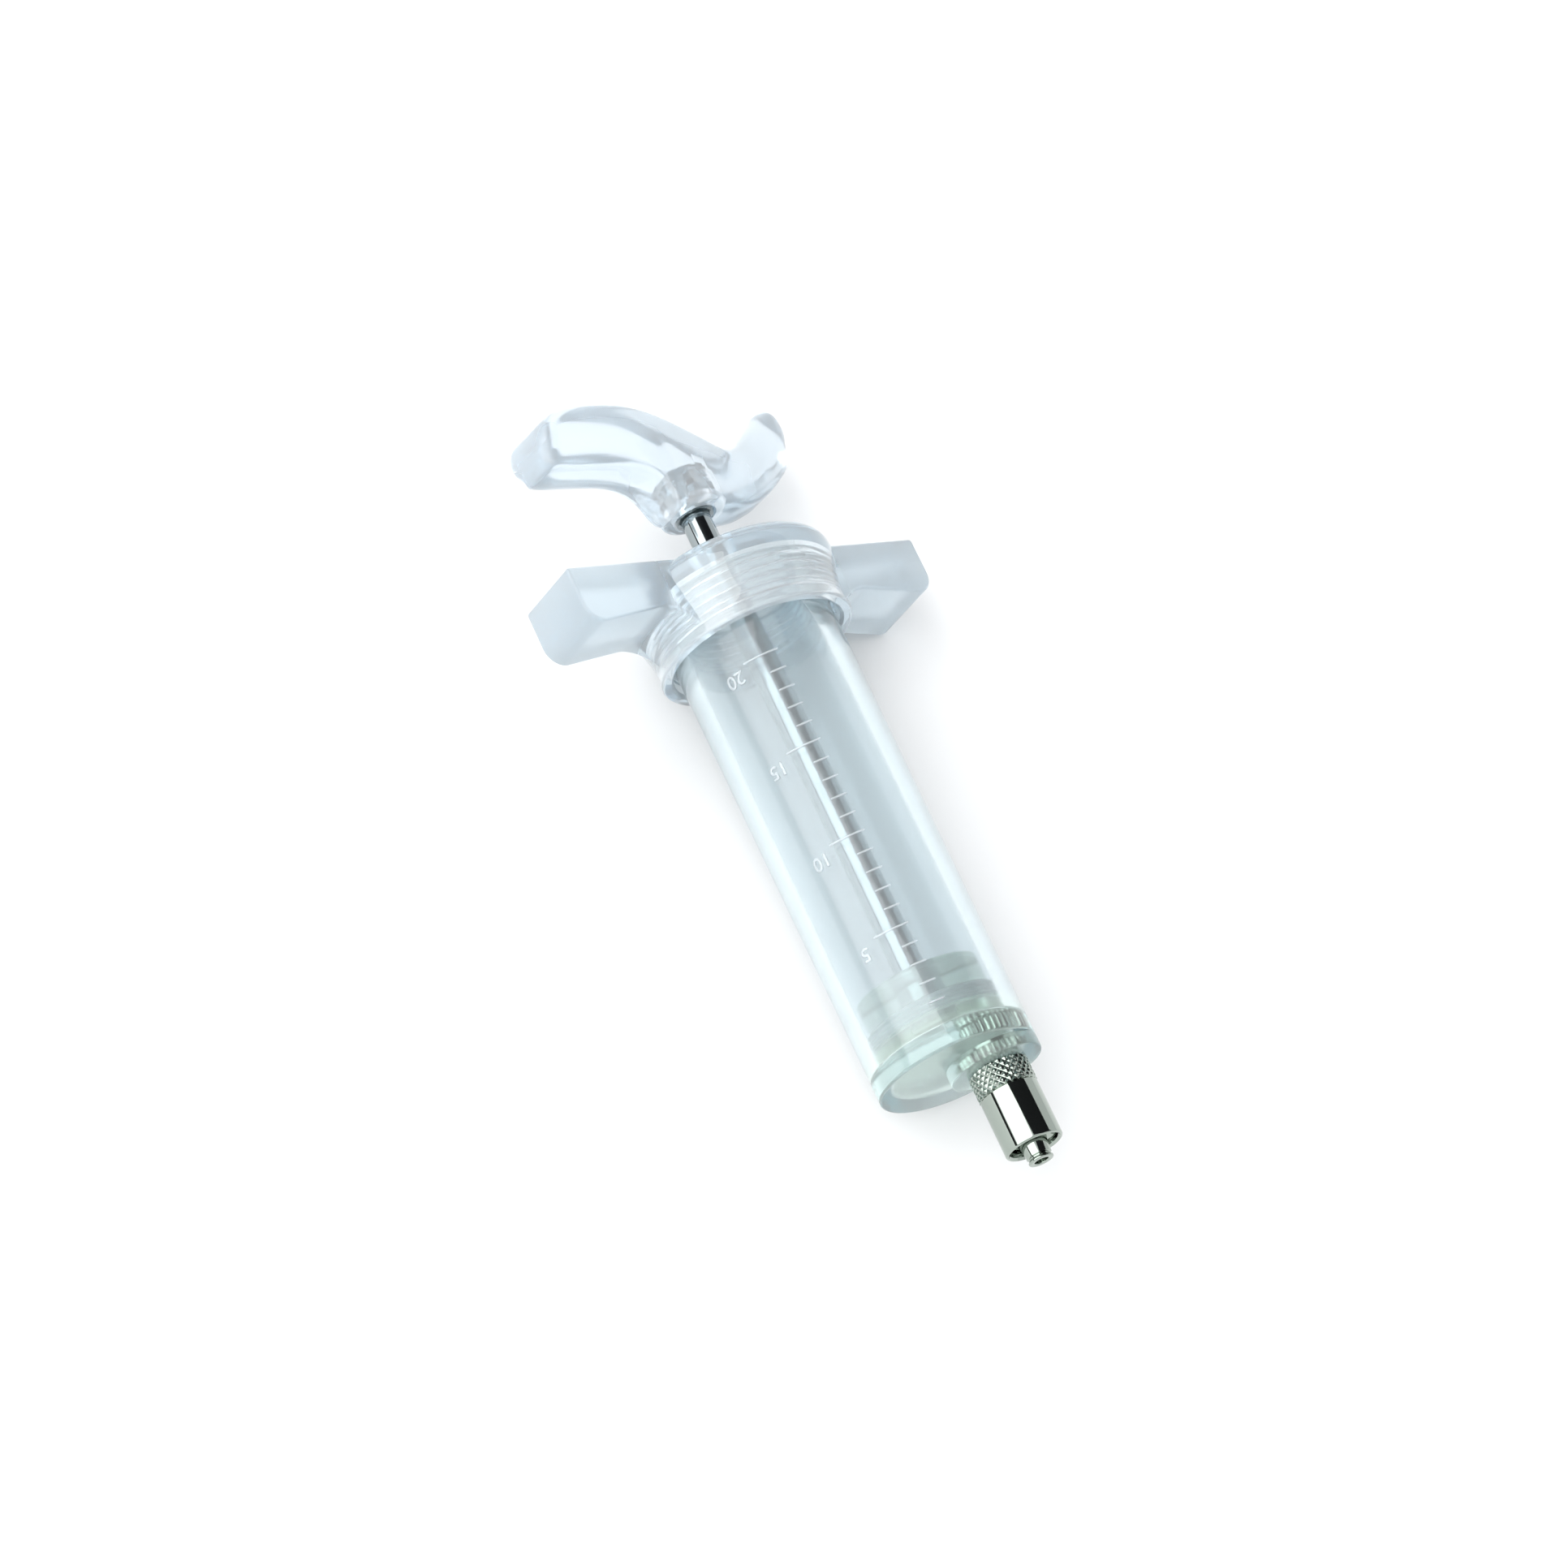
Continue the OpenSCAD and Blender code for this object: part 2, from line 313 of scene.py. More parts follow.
def clear_plastic(name, colour, clarity, haze=None, ripple=0.03, depth_tint=(0.72, 0.88, 0.97), density=55):
    """Moulded clear plastic: a milky body, faint flow ripples, and a tint that grows with depth. haze is the
    range of roughness that handling has left; a plastic without it gets its finish afterwards."""
    material = bpy.data.materials.new(name)
    material.use_nodes = True
    nodes, links = material.node_tree.nodes, material.node_tree.links
    shader = nodes["Principled BSDF"]
    shader.inputs["Base Color"].default_value = (*colour, 1)
    shader.inputs["Transmission Weight"].default_value = clarity
    shader.inputs["IOR"].default_value = 1.49
    if haze:
        smears = noise_node(nodes, links, 90, 4)
        links.new(ranged(nodes, links, smears.outputs["Fac"], *haze), shader.inputs["Roughness"])
    flow = noise_node(nodes, links, 70, 1)
    add_bump(nodes, links, flow.outputs["Fac"], ripple, 0.001)
    absorption = nodes.new("ShaderNodeVolumeAbsorption")
    absorption.inputs["Color"].default_value = (*depth_tint, 1)
    absorption.inputs["Density"].default_value = density
    links.new(absorption.outputs["Volume"], nodes["Material Output"].inputs["Volume"])
    return material


def bright_metal(name, colour, roughness):
    """Plated or turned metal, with a fine grain in its polish and darker handling marks."""
    material = bpy.data.materials.new(name)
    material.use_nodes = True
    nodes, links = material.node_tree.nodes, material.node_tree.links
    shader = nodes["Principled BSDF"]
    shader.inputs["Metallic"].default_value = 1
    grain = noise_node(nodes, links, 600, 6)
    links.new(ranged(nodes, links, grain.outputs["Fac"], *roughness), shader.inputs["Roughness"])
    marks = noise_node(nodes, links, 160, 3)
    handled = [0.88 * channel for channel in colour]
    links.new(mixed(nodes, links, marks.outputs["Fac"], colour, handled), shader.inputs["Base Color"])
    add_bump(nodes, links, grain.outputs["Fac"], 0.02, 0.0002)
    return material


def finish_front_wall(material, colour, wall_colour, polished, satin):
    """Colours the barrel's solid front wall apart from its thin tube, and leaves its front face satin."""
    nodes, links = material.node_tree.nodes, material.node_tree.links
    shader = nodes["Principled BSDF"]
    coordinates = nodes.new("ShaderNodeTexCoord")
    split = nodes.new("ShaderNodeSeparateXYZ")
    links.new(coordinates.outputs["Object"], split.inputs["Vector"])
    wall_x = FRONT_X - FLOOR_T * MM
    in_wall = rise(nodes, links, split.outputs["X"], wall_x - 3 * MM, wall_x)
    links.new(mixed(nodes, links, in_wall, colour, wall_colour), shader.inputs["Base Color"])
    edge_x = FRONT_X - EDGE_R * MM
    finish = rise(nodes, links, split.outputs["X"], edge_x, FRONT_X, polished, satin)
    links.new(finish, shader.inputs["Roughness"])


def satin_wings(material, polished, satin):
    """Leaves the round of the cap polished and gives the wings outside it a satin finish."""
    nodes, links = material.node_tree.nodes, material.node_tree.links
    coordinates = nodes.new("ShaderNodeTexCoord")
    from_axis = nodes.new("ShaderNodeVectorMath")
    from_axis.operation = "SUBTRACT"
    from_axis.inputs[1].default_value = axis_point
    flatten = nodes.new("ShaderNodeVectorMath")
    flatten.operation = "MULTIPLY"
    flatten.inputs[1].default_value = (0, 1, 1)
    length = nodes.new("ShaderNodeVectorMath")
    length.operation = "LENGTH"
    links.new(coordinates.outputs["Object"], from_axis.inputs[0])
    links.new(from_axis.outputs["Vector"], flatten.inputs[0])
    links.new(flatten.outputs["Vector"], length.inputs[0])
    finish = rise(nodes, links, length.outputs["Value"], CAP_R * MM, (CAP_R + 2) * MM, polished, satin)
    links.new(finish, nodes["Principled BSDF"].inputs["Roughness"])


BARREL_COLOUR = (0.89, 0.94, 0.965)
FRONT_WALL_COLOUR = (0.92, 0.995, 0.96)

barrel_plastic = clear_plastic("barrel_plastic", BARREL_COLOUR, 0.89, depth_tint=(0.74, 0.91, 0.93))
finish_front_wall(barrel_plastic, BARREL_COLOUR, FRONT_WALL_COLOUR, 0.1, 0.25)
cap_plastic = clear_plastic("cap_plastic", (0.96, 0.985, 0.995), 0.78)
satin_wings(cap_plastic, 0.06, 0.36)
handle_plastic = clear_plastic("handle_plastic", (0.94, 0.97, 0.995), 0.73, (0.06, 0.11), density=40)
piston_plastic = clear_plastic("piston_plastic", (0.96, 1.0, 0.97), 0.74, (0.06, 0.12),
                               depth_tint=(0.8, 0.96, 0.84), density=40)
seal_silicone = clear_plastic("seal_silicone", (0.92, 0.985, 0.955), 0.5, (0.25, 0.36), ripple=0.05,
                              depth_tint=(0.8, 0.95, 0.86))
relief_plastic = clear_plastic("relief_plastic", (0.92, 0.96, 0.985), 0.72, (0.1, 0.2))
nickel = bright_metal("nickel", (0.355, 0.40, 0.36), (0.03, 0.08))
turned_steel = bright_metal("turned_steel", (0.34, 0.38, 0.39), (0.06, 0.13))


# Barrel with its eccentric boss and thread

def barrel_r(z):
    return BARREL_FRONT_R + (BARREL_REAR_R - BARREL_FRONT_R) * z / BARREL_H


def barrel_surface(angle, r, z):
    if r < BORE_R + 1 or z < THREAD_START:
        return r
    return r + THREAD_H * thread_wave(angle, z, THREAD_PITCH) * fade(z, THREAD_START, BARREL_H, 0.8)


def make_barrel():
    front = arc(BARREL_FRONT_R - EDGE_R, EDGE_R, EDGE_R, -90, 0, 5)
    side = column(BARREL_FRONT_R, barrel_r(THREAD_START), EDGE_R + 1, THREAD_START, 12)
    threaded = column(barrel_r(THREAD_START), BARREL_REAR_R, THREAD_START + 0.1, BARREL_H - 0.1, 84)
    bore = [(BORE_R + 0.3, BARREL_H), (BORE_R, BARREL_H - 0.3), (BORE_R, FLOOR_T + 0.4)]
    floor = arc(BORE_R - 0.4, FLOOR_T + 0.4, 0.4, 0, -90, 4)
    profile = [(0.01, 0)] + front + side + threaded + [(BARREL_REAR_R - 0.2, BARREL_H)] + bore + floor
    obj = piece("clear_barrel", lathe(profile + [(0.01, FLOOR_T)], 192, barrel_surface, capped=True))
    boss_r = BARREL_FRONT_R - NOZZLE_OFFSET - 0.02
    boss_profile = [(boss_r, 1), *arc(boss_r - 0.35, 0.35 - BOSS_H, 0.35, 0, -90, 4)]
    boss = piece("boss", lathe(boss_profile, 128, centre_y=NOZZLE_OFFSET, capped=True))
    boolean(obj, boss, "UNION")
    settle(obj, "syringe_body", barrel_plastic, "clear_barrel", "barrel")


# Raised graduation lines and numerals, moulded on the barrel

MARK_RIGHT = 2.9
MARK_H = 0.3
MARK_RELIEF = 0.11
MARK_ROOT = 0.06
MARK_LONG = 5.6
MARK_SHORT = 2.5
MARK_STEPS = 10
NUMERAL_H = 2.2
NUMERAL_H_PER_SIZE = 0.72
NUMERAL_GAP = 0.6
NUMERAL_ACROSS = -4.9


def wrap(across, z, height):
    """A point above the barrel's surface, across millimetres round from the middle of the graduation."""
    r = barrel_r(z) + height
    angle = across / barrel_r(z)
    return (r * math.cos(angle), r * math.sin(angle), z)


def make_marks():
    bm = bmesh.new()
    half = MARK_H / 2
    section = [(-half, -MARK_ROOT), (half, -MARK_ROOT), (half, MARK_RELIEF * 0.5), (half * 0.45, MARK_RELIEF),
               (-half * 0.45, MARK_RELIEF), (-half, MARK_RELIEF * 0.5)]
    for ml in range(1, STROKE_ML + 1):
        z = FLOOR_T + ml * ML_H
        length = MARK_LONG if ml % 5 == 0 else MARK_SHORT
        rows = []
        for i in range(MARK_STEPS + 1):
            across = MARK_RIGHT - length + length * i / MARK_STEPS
            rows.append([bm.verts.new(wrap(across, z + dz, height)) for dz, height in section])
        for low, high in zip(rows, rows[1:]):
            for a in range(len(section)):
                b = (a + 1) % len(section)
                bm.faces.new((low[a], low[b], high[b], high[a]))
        bm.faces.new(rows[0])
        bm.faces.new(rows[-1])
    obj = piece("graduation_lines", bm)
    settle(obj, "syringe_body", relief_plastic, "clear_barrel")


def make_numeral(ml):
    curve = bpy.data.curves.new("numeral", "FONT")
    curve.body = str(ml)
    curve.size = NUMERAL_H / NUMERAL_H_PER_SIZE
    curve.align_x = "CENTER"
    curve.extrude = 0.1
    curve.bevel_depth = 0.03
    curve.resolution_u = 6
    text = bpy.data.objects.new("numeral", curve)
    bpy.context.scene.collection.objects.link(text)
    mesh = bpy.data.meshes.new_from_object(text.evaluated_get(bpy.context.evaluated_depsgraph_get()))
    bpy.data.objects.remove(text)
    bm = bmesh.new()
    bm.from_mesh(mesh)
    baseline = FLOOR_T + ml * ML_H - NUMERAL_GAP
    for vert in bm.verts:
        vert.co = wrap(NUMERAL_ACROSS - vert.co.x, baseline - vert.co.y, vert.co.z)
    obj = piece(f"numeral_{ml}", bm, 25)
    settle(obj, "syringe_body", relief_plastic, "clear_barrel")


# Cap with finger wings

def cap_thread(angle, r, z):
    height = 0.45 * fade(z, THREAD_START, BARREL_H - 0.3, 0.8)
    return r - height * thread_wave(angle, z + THREAD_PITCH / 2, THREAD_PITCH)


def wing_outline():
    """Side outline of one wing, from the axis to its end."""
    tip_z = CAP_TOP - WING_TIP_H
    arch_z = tip_z + WING_ARCH
    fillet_x = WING_ROOT_X + WING_ROOT_FILLET
    fillet_z = arch_z - WING_ROOT_FILLET
    start = 180 - math.degrees(math.asin((WING_BASE - fillet_z) / WING_ROOT_FILLET))
    root = arc(fillet_x, fillet_z, WING_ROOT_FILLET, start, 90, 16)
    tip = arc(WING_SPAN - WING_TIP_ROUND, tip_z + WING_TIP_ROUND, WING_TIP_ROUND, -85, 0, 8)
    return [(0, WING_BASE)] + root + tip + [(WING_SPAN, CAP_TOP), (0, CAP_TOP)]


def make_wing(side):
    """One finger wing as a bevelled solid that reaches the cap's axis."""
    outline = wing_outline()
    rings = [[(x, y, z) for x, z in outline] for y in (-WING_W / 2, WING_W / 2)]
    bm = sweep(rings, True)
    bmesh.ops.recalc_face_normals(bm, faces=bm.faces)
    rounded = [e for e in bm.edges if e.calc_face_angle(0) > math.radians(30)
               and max(v.co.x for v in e.verts) > WING_ROOT_X]
    bmesh.ops.bevel(bm, geom=rounded, offset=WING_BEVEL, segments=6, profile=0.5, affect="EDGES",
                    clamp_overlap=True)
    bmesh.ops.rotate(bm, verts=bm.verts, matrix=Matrix.Rotation(WING_ANGLE + side, 3, "Z"))
    return piece("wing", bm)


def make_cap():
    lip = [(13.9, CAP_BOTTOM), (15.2, CAP_BOTTOM), *arc(15.2, CAP_BOTTOM + 0.5, 0.5, -60, 20, 4)]
    skirt = smooth_curve([(15.62, CAP_BOTTOM + 1), (15.4, CAP_BOTTOM + 2.4), (15.7, CAP_BOTTOM + 5),
                          (CAP_R - 0.1, CAP_TOP - CAP_ROUND - 1.2), (CAP_R, CAP_TOP - CAP_ROUND)], 4)
    top = arc(CAP_R - CAP_ROUND, CAP_TOP - CAP_ROUND, CAP_ROUND, 8, 90, 10)
    profile = [(0.01, CAP_BOTTOM)] + lip + skirt + top + [(0.01, CAP_TOP)]
    obj = piece("wing_cap", lathe(profile, 192, capped=True))
    boolean(obj, make_wing(0), "UNION")
    boolean(obj, make_wing(math.pi), "UNION")
    mouth_r = CAP_BORE_R + 0.5
    inside = [(0.01, CAP_BOTTOM - 1), (mouth_r, CAP_BOTTOM - 1), (mouth_r, CAP_BOTTOM),
              (CAP_BORE_R, CAP_BOTTOM + 0.5)]
    inside += column(CAP_BORE_R, CAP_BORE_R, CAP_BOTTOM + 0.6, BARREL_H + 0.1, 90)
    inside += [(ROD_HOLE_R + 0.4, BARREL_H + 0.1), (ROD_HOLE_R, BARREL_H + 0.5), (ROD_HOLE_R, CAP_TOP - 0.4),
               (ROD_HOLE_R + 0.4, CAP_TOP), (ROD_HOLE_R + 0.4, CAP_TOP + 1), (0.01, CAP_TOP + 1)]

    def bore(angle, r, z):
        return cap_thread(angle, r, z) if abs(r - CAP_BORE_R) < 0.01 else r

    boolean(obj, piece("inside", lathe(inside, 192, bore, capped=True)), "DIFFERENCE")
    settle(obj, "syringe_body", cap_plastic, "clear_cap", "grip_cap")


# Piston, seal and anchor

def make_piston():
    front_r = BORE_R - 0.12
    groove_z = PISTON_FRONT + PISTON_FRONT_H
    profile = [(0.01, PISTON_FRONT), *arc(front_r - 0.5, PISTON_FRONT + 0.5, 0.5, -90, 0, 5),
               (front_r, groove_z), (GROOVE_R, groove_z), (GROOVE_R, FOLLOWER_Z), (FOLLOWER_R, FOLLOWER_Z),
               *arc(FOLLOWER_R - 0.6, PISTON_BACK - 0.6, 0.6, 0, 90, 6), (0.01, PISTON_BACK)]
    obj = piece("clear_piston", lathe(profile, 160, capped=True))
    settle(obj, "plunger", piston_plastic, "clear_piston", "piston")


def make_seal():
    outer_r = BORE_R - 0.05
    inner_r = GROOVE_R + 0.08
    edge_r = outer_r - 0.3
    ribs = 3
    steps = 24
    profile = [(inner_r, SEAL_Z), (edge_r, SEAL_Z)]
    for i in range(steps + 1):
        share = i / steps
        dip = 0.28 * math.sin(math.pi * ribs * share + math.pi / 2) ** 2
        profile.append((outer_r - dip, SEAL_Z + 0.05 + (SEAL_H - 0.1) * share))
    profile += [(edge_r, SEAL_Z + SEAL_H), (inner_r, SEAL_Z + SEAL_H)]
    obj = piece("ribbed_seal", lathe(profile, 160))
    settle(obj, "sliding_seal", seal_silicone, "seal", "piston_seal")


def make_anchor():
    end_r = ANCHOR_R - 0.3

    def knurl(angle, r, z):
        if r < end_r - 0.1:
            return r
        return r - 0.25 * (1 - min(1, 1.3 * diamond(angle, z, 16, 0.92)))

    profile = [(0.01, ANCHOR_Z), (1.5, ANCHOR_Z), (end_r, ANCHOR_Z + 0.02)]
    profile += column(ANCHOR_R, ANCHOR_R, ANCHOR_Z + 0.1, ANCHOR_Z + ANCHOR_H - 0.1, 28)
    profile += [(end_r, ANCHOR_Z + ANCHOR_H - 0.02), (0.01, ANCHOR_Z + ANCHOR_H)]
    obj = piece("knurled_anchor", lathe(profile, 180, knurl, capped=True), 60)
    settle(obj, "plunger", turned_steel, "steel", "piston_anchor")


# Rod, nut and the handle's insert

THREAD_R = 2
THREAD_BORE_R = 2.05
COUNTERSINK_R = 2.75


def make_rod():
    thread_start = MOUTH_Z + 0.6

    def threaded(angle, r, z):
        if z < thread_start or r < 1:
            return r
        return r - 0.28 * (1 - thread_wave(angle, z, 0.7))

    profile = [(0.01, ANCHOR_Z + 0.1), (1.6, ANCHOR_Z + 0.1), (1.6, ANCHOR_Z + ANCHOR_H - 0.05),
               (ROD_R, ANCHOR_Z + ANCHOR_H), *column(ROD_R, ROD_R, ANCHOR_Z + 3, MOUTH_Z + 0.2, 12),
               (ROD_R - 0.3, thread_start)]
    profile += column(THREAD_R, THREAD_R, thread_start + 0.1, INSERT_Z + INSERT_H - 2, 80)
    profile.append((0.01, INSERT_Z + INSERT_H - 1.6))
    obj = piece("turned_rod", lathe(profile, 96, threaded, capped=True))
    settle(obj, "plunger", turned_steel, "steel", "plunger_rod")


def hex_radius(across_flats, angle):
    """Distance from the axis to a hexagon's side, in the direction of angle."""
    side = math.pi / 3
    return across_flats / 2 / math.cos((angle + side / 2) % side - side / 2)


def make_hex(name, across_flats, profile, turn, node):
    """A hexagonal piece: each profile point's radius is the most that its chamfers leave of the hexagon."""
    def flats(angle, r, z):
        return min(r, hex_radius(across_flats, angle + turn)) if r > COUNTERSINK_R else r

    obj = piece(name, lathe(profile, 144, flats), 24)
    settle(obj, "plunger", turned_steel, "steel", node)


def make_nut():
    top = INSERT_Z - 0.02
    profile = [(THREAD_BORE_R, MOUTH_Z + 0.7), (COUNTERSINK_R, MOUTH_Z), (3.0, MOUTH_Z),
               (3.25, MOUTH_Z + 0.04), (3.5, MOUTH_Z + 0.25), (3.5, top - 0.25), (3.2, top),
               (THREAD_BORE_R, top)]
    make_hex("hex_lock_nut", 6, profile, ROLL, "lock_nut")


def make_insert():
    flange_h = INSERT_H / 3
    low, high = INSERT_Z + flange_h, INSERT_Z + 2 * flange_h
    profile = [(THREAD_BORE_R, INSERT_Z), (2.9, INSERT_Z), (3.4, INSERT_Z + 0.2), (3.4, low - 0.2),
               (2.8, low), *arc(2.95, (low + high) / 2, 0.3, 250, 110, 5), (2.8, high), (3.4, high + 0.2),
               (3.4, high + flange_h - 0.3), (2.8, high + flange_h), (THREAD_BORE_R, high + flange_h)]
    make_hex("hex_insert", 5.8, profile, 0, "handle_insert")


# Handle: one smooth moulding, high on its long arm, low over the rod and high again on its short arm

HANDLE_ANGLE = math.radians(-40)
HANDLE_W = 11
NUT_SOCKET_R = 3.56
HANDLE_BOSS_R = 5.4
HANDLE_LEFT_TIP_R = 3
HANDLE_RIGHT_TIP_R = 5.2
HANDLE_LEFT = 29
HANDLE_RIGHT = -25
HANDLE_TOP = ((29, 111.6), (26.5, 113.4), (23.5, 114.9), (19, 116), (14, 116.3), (9, 116), (4.5, 114.8),
              (0.5, 112.9), (-3.5, 110.6), (-7.5, 108.4), (-11, 108.9), (-14.5, 111.6), (-18, 114.4),
              (-21, 115.6), (-23.4, 115.2), (-25, 113.6))
HANDLE_UNDER = ((29, 105.6), (25, 105.2), (18, 105.4), (12.5, 105.3), (8.7, 104.2), (6.6, 102), (5.2, 98.6),
                (4.2, 98.1), (-2, 98.1), (-6, 98.3), (-11, 99.2), (-15.5, 101), (-20, 104), (-23, 106.8),
                (-25, 109.6))


def height_at(curve, t):
    """The height of a curve of (t, z) points with falling t."""
    for (t0, z0), (t1, z1) in zip(curve, curve[1:]):
        if t >= t1:
            return z0 + (z1 - z0) * (t0 - t) / (t0 - t1)
    return curve[-1][1]


def handle_section(low, high, half_w):
    """The right half of a cross-section, as (across, z), from the middle of its top round to underneath."""
    tall = high - low
    round_r = min(2.2, 0.42 * tall, 0.9 * half_w)
    ridge = low + 0.5 * tall
    foot_w = 0.7 * half_w
    points = [(0, high), (half_w * 0.35, high)]
    points += arc(half_w - round_r, high - round_r, round_r, 90, 0, 7)
    points.append((half_w, ridge + 0.1 * tall))
    for share in (0.12, 0.3, 0.5, 0.7, 0.85):
        points.append((foot_w + (half_w - foot_w) * (1 - share) ** 1.8, ridge - share * (ridge - low)))
    points += [(foot_w - 0.35 * round_r, low + 0.02 * tall), (foot_w * 0.5, low), (0, low)]
    return points


def make_handle():
    top = smooth_curve(HANDLE_TOP, 8)
    under = smooth_curve(HANDLE_UNDER, 8)
    stations = 150
    rings = []
    for i in range(stations + 1):
        share = 0.5 - 0.5 * math.cos(math.pi * i / stations)
        t = HANDLE_LEFT + (HANDLE_RIGHT - HANDLE_LEFT) * share
        to_end = min(HANDLE_LEFT - t, t - HANDLE_RIGHT)
        tip_r, end_round = (HANDLE_LEFT_TIP_R, 1.6) if t > 0 else (HANDLE_RIGHT_TIP_R, 4)
        in_tip = max(0, 1 - to_end / tip_r)
        half_w = HANDLE_W / 2 - tip_r + tip_r * math.sqrt(1 - in_tip ** 2)
        in_round = max(0, 1 - to_end / end_round)
        squeeze = max(0.04, math.sqrt(1 - in_round ** 2))
        low, high = height_at(under, t), height_at(top, t)
        middle = (low + high) / 2
        low, high = middle + (low - middle) * squeeze, middle + (high - middle) * squeeze
        right_half = handle_section(low, high, half_w)
        outline = right_half + [(-across, z) for across, z in right_half[-2:0:-1]]
        rings.append([(t, across, z) for across, z in outline])
    bm = sweep(rings, True)
    bmesh.ops.rotate(bm, verts=bm.verts, matrix=Matrix.Rotation(HANDLE_ANGLE, 3, "Z"))
    obj = piece("palm_handle", bm, 50)
    boss_round = 1.2
    boss_profile = [*arc(HANDLE_BOSS_R - boss_round, MOUTH_Z + boss_round, boss_round, -90, 0, 6),
                    (HANDLE_BOSS_R, MOUTH_Z + 6), (HANDLE_BOSS_R - 1, MOUTH_Z + 8)]
    boolean(obj, piece("boss", lathe(boss_profile, 96, capped=True)), "UNION", 50)
    socket = [(0.01, MOUTH_Z - 1), (NUT_SOCKET_R, MOUTH_Z - 1), (NUT_SOCKET_R, INSERT_Z), (0.01, INSERT_Z)]
    boolean(obj, piece("socket", lathe(socket, 96, capped=True)), "DIFFERENCE", 50)
    settle(obj, "plunger", handle_plastic, "clear_handle", "handle")


# Metal nozzle

def make_spigot():
    ribs = 30

    def ribbed(angle, r, z):
        if r < 3.6 or z < -BOSS_H + 0.2:
            return r
        return r - 0.3 * abs(math.sin(ribs * angle / 2)) ** 3

    bore_r = 1.1
    neck_r = 2.9
    stem_r = LUER_R + 0.3
    web_z = COLLAR_TOP - COLLAR_WEB
    profile = [(bore_r, FLOOR_T), (3.4, FLOOR_T), (SPIGOT_R, FLOOR_T - 0.3), (SPIGOT_R, 1.2), (3.3, 1.0),
               (3.3, 0.4), (SPIGOT_R, 0.2), (SPIGOT_R, -BOSS_H + 0.35), (3.5, -BOSS_H), (neck_r, -BOSS_H),
               (neck_r, web_z), (stem_r, web_z), (stem_r, COLLAR_END + 0.8),
               (LUER_R + 0.12, COLLAR_END + 0.2), (LUER_R - 0.02, LUER_END + 0.9),
               (LUER_R - 0.25, LUER_END + 0.75), (LUER_R - 0.25, LUER_END + 0.6),
               *arc(LUER_R - 0.22, LUER_END + 0.22, 0.22, 60, -90, 5),
               *arc(bore_r + 0.2, LUER_END + 0.2, 0.2, 270, 180, 4)]
    obj = piece("knurled_spigot", lathe(profile, 240, ribbed, NOZZLE_OFFSET))
    settle(obj, "syringe_body", nickel, "bright_metal", "nozzle_spigot")


def make_collar():
    inner_r = 3.85
    neck_r = 2.98
    web_z = COLLAR_TOP - COLLAR_WEB

    def shaped(angle, r, z):
        if r > COLLAR_R - 0.02 and z > COLLAR_TOP - KNURL_BAND:
            return r - 0.22 * (1 - min(1, 1.35 * diamond(angle, z, 25, 1.22)))
        if abs(r - inner_r) < 0.01:
            return r - 0.45 * thread_wave(angle, z, 2.6) * fade(z, COLLAR_END + 0.6, web_z, 0.5)
        return r

    knurl = column(COLLAR_R, COLLAR_R, COLLAR_TOP - 0.15, COLLAR_TOP - KNURL_BAND + 0.15, 50)
    bore = column(inner_r, inner_r, COLLAR_END + 0.35, web_z - 0.05, 60)
    profile = [(neck_r, COLLAR_TOP), (COLLAR_R - 0.3, COLLAR_TOP), *knurl,
               (COLLAR_R - 0.3, COLLAR_TOP - KNURL_BAND), (COLLAR_R - 0.1, COLLAR_TOP - KNURL_BAND - 0.15),
               *arc(COLLAR_R - 0.45, COLLAR_END + 0.35, 0.35, 0, -90, 6), *bore,
               (neck_r, web_z)]
    obj = piece("luer_lock_collar", lathe(profile, 272, shaped, NOZZLE_OFFSET))
    settle(obj, "lock_collar", nickel, "bright_metal", "lock_collar")


make_barrel()
make_marks()
for millilitres in range(5, STROKE_ML + 1, 5):
    make_numeral(millilitres)
make_cap()
make_piston()
make_seal()
make_anchor()
make_rod()
make_nut()
make_insert()
make_handle()
make_spigot()
make_collar()


# Floor, light and camera

def make_floor():
    half = 6
    bm = bmesh.new()
    bm.faces.new([bm.verts.new((x, y, -0.0002)) for x, y in ((-half, -half), (half, -half), (half, half),
                                                            (-half, half))])
    floor = piece("floor", bm)
    material = bpy.data.materials.new("pale_floor")
    material.use_nodes = True
    shader = material.node_tree.nodes["Principled BSDF"]
    shader.inputs["Base Color"].default_value = (0.84, 0.84, 0.84, 1)
    shader.inputs["Roughness"].default_value = 0.9
    shader.inputs["Specular IOR Level"].default_value = 0
    floor.data.materials.append(material)


def aim(obj, target):
    obj.rotation_mode = "QUATERNION"
    obj.rotation_quaternion = (Vector(target) - obj.location).to_track_quat("-Z", "Y")


def on_arc(angle, distance, along=0):
    """A point round the barrel's axis: 0 degrees is overhead, positive towards +Y, negative towards -Y."""
    turned = math.radians(angle)
    return Vector((along, distance * math.sin(turned), distance * math.cos(turned)))


def soft_box(name, location, width, height, power):
    light = bpy.data.lights.new(name, "AREA")
    light.shape = "RECTANGLE"
    light.size = width
    light.size_y = height
    light.energy = power
    obj = bpy.data.objects.new(name, light)
    obj.location = location
    obj.visible_camera = False
    aim(obj, (0, 0, 0.015))
    bpy.context.scene.collection.objects.link(obj)


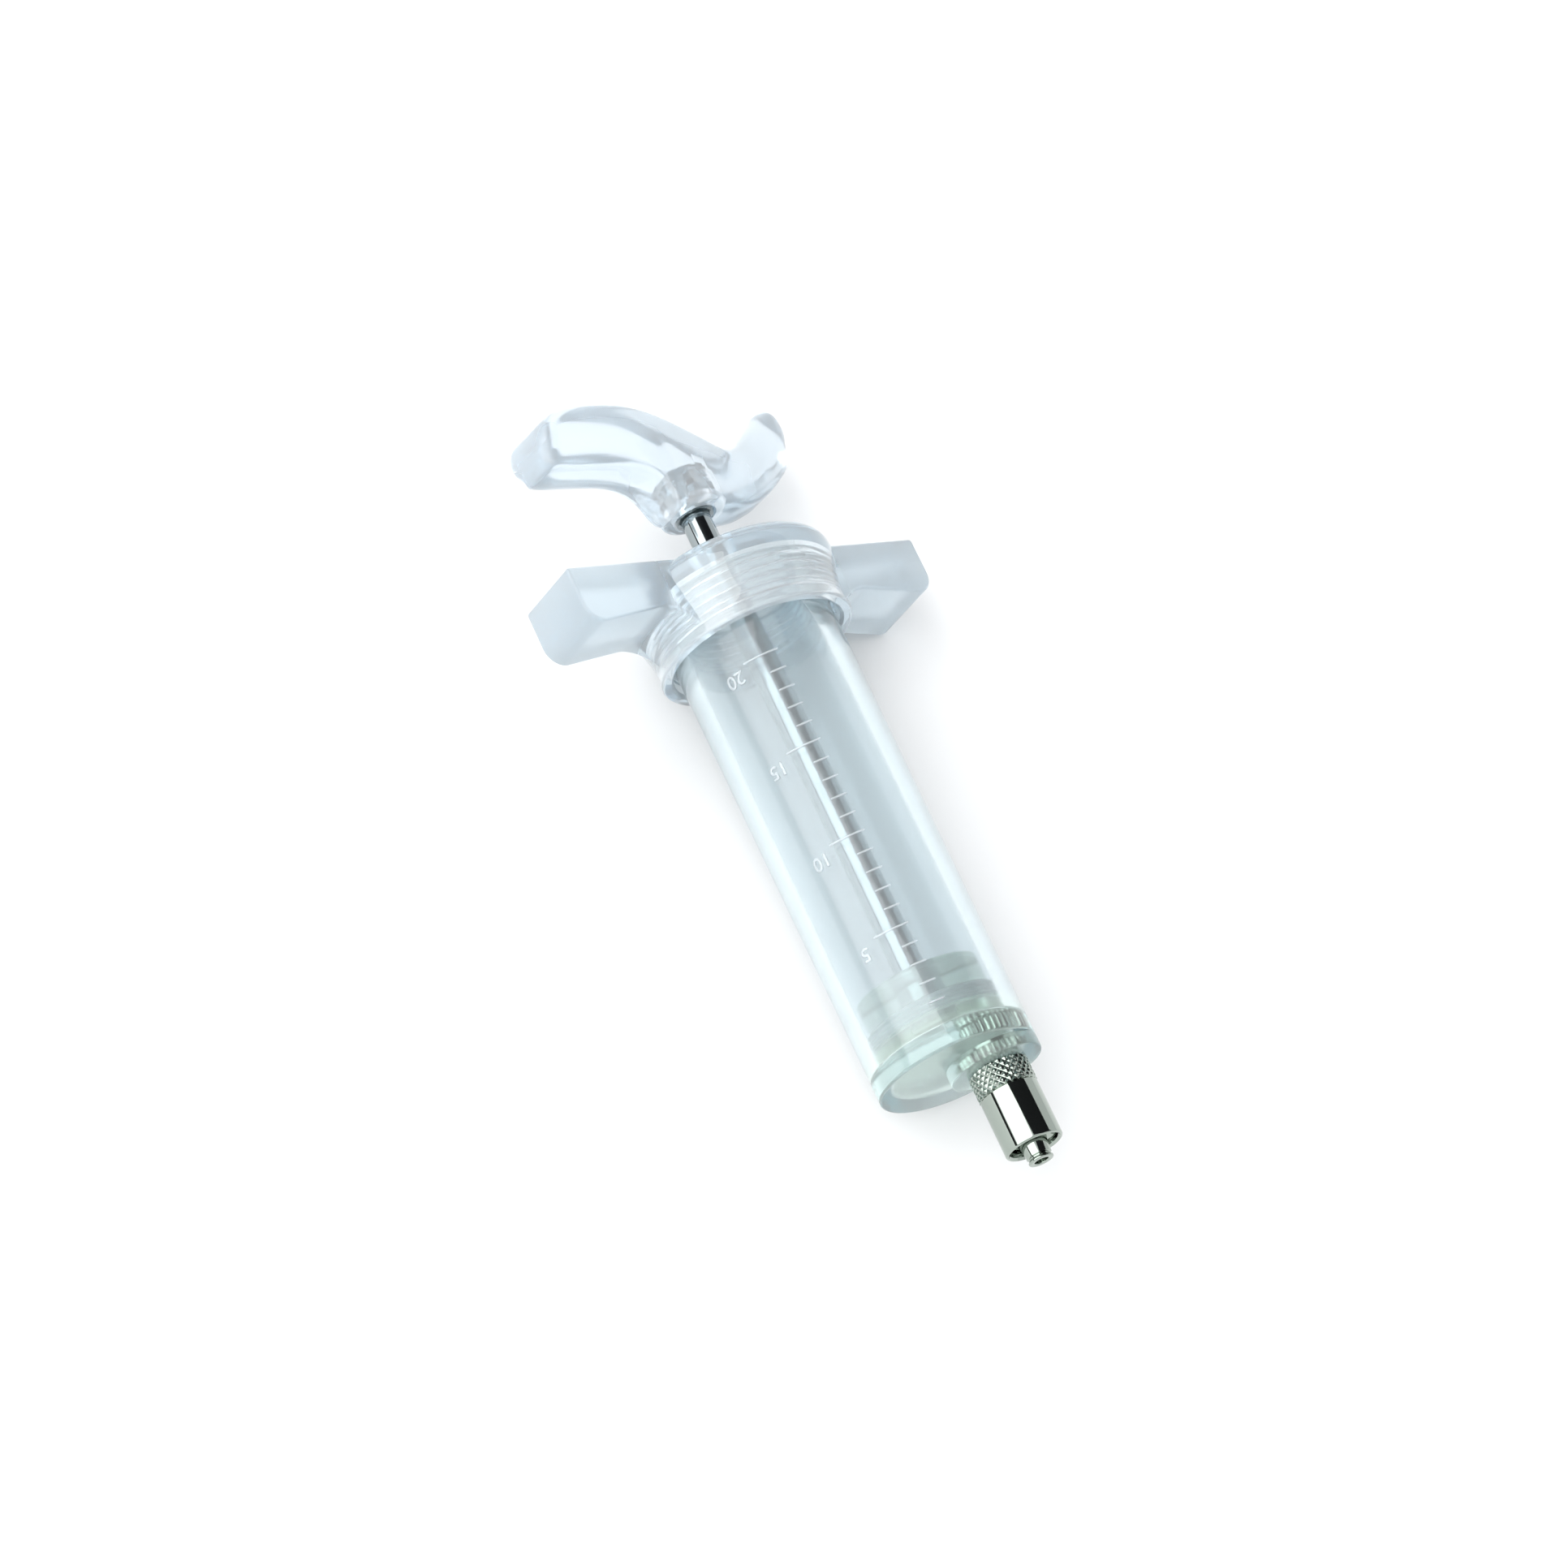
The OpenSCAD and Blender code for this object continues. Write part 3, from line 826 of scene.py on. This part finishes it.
def dark_card(name, location, width, height):
    """A black studio card that only mirrors and clear plastic see."""
    bm = bmesh.new()
    corners = ((-1, -1), (1, -1), (1, 1), (-1, 1))
    bm.faces.new([bm.verts.new((x * width / 2, y * height / 2, 0)) for x, y in corners])
    card = piece(name, bm)
    card.location = location
    aim(card, (0, 0, 0.015))
    material = bpy.data.materials.new(name)
    material.use_nodes = True
    shader = material.node_tree.nodes["Principled BSDF"]
    shader.inputs["Base Color"].default_value = (0.02, 0.02, 0.022, 1)
    shader.inputs["Specular IOR Level"].default_value = 0
    card.data.materials.append(material)
    card.visible_camera = False
    card.visible_diffuse = False
    card.visible_shadow = False


def make_world():
    world = bpy.data.worlds.new("studio")
    world.use_nodes = True
    background = world.node_tree.nodes["Background"]
    background.inputs["Color"].default_value = (0.97, 0.985, 1, 1)
    background.inputs["Strength"].default_value = 1.05
    bpy.context.scene.world = world


def make_camera():
    azimuth, elevation, roll = math.radians(43.2), math.radians(58.15), math.radians(26.07)
    distance = 0.8214
    target = Vector((-0.0033, -0.0046, 0.0146))
    back = Vector((math.sin(azimuth) * math.cos(elevation), -math.cos(azimuth) * math.cos(elevation),
                   math.sin(elevation)))
    data = bpy.data.cameras.new("camera")
    data.lens = 125.76
    data.sensor_width = 36
    data.clip_start = 0.05
    camera = bpy.data.objects.new("camera", data)
    camera.location = target + back * distance
    camera.rotation_mode = "QUATERNION"
    camera.rotation_quaternion = (-back).to_track_quat("-Z", "Y") @ Quaternion((0, 0, 1), roll)
    bpy.context.scene.collection.objects.link(camera)
    bpy.context.scene.camera = camera


make_floor()
make_world()
soft_box("key_box", on_arc(-46, 1.2, -0.2), 2.0, 1.5, 22)
dark_card("top_card", on_arc(20, 0.9, -0.2), 2.4, 1.0)
dark_card("horizon_card", on_arc(-87, 0.9, -0.2), 2.4, 0.2)
make_camera()
scene = bpy.context.scene
scene.view_settings.view_transform = "Standard"
scene.cycles.max_bounces = 32
scene.cycles.transmission_bounces = 32
scene.cycles.glossy_bounces = 8
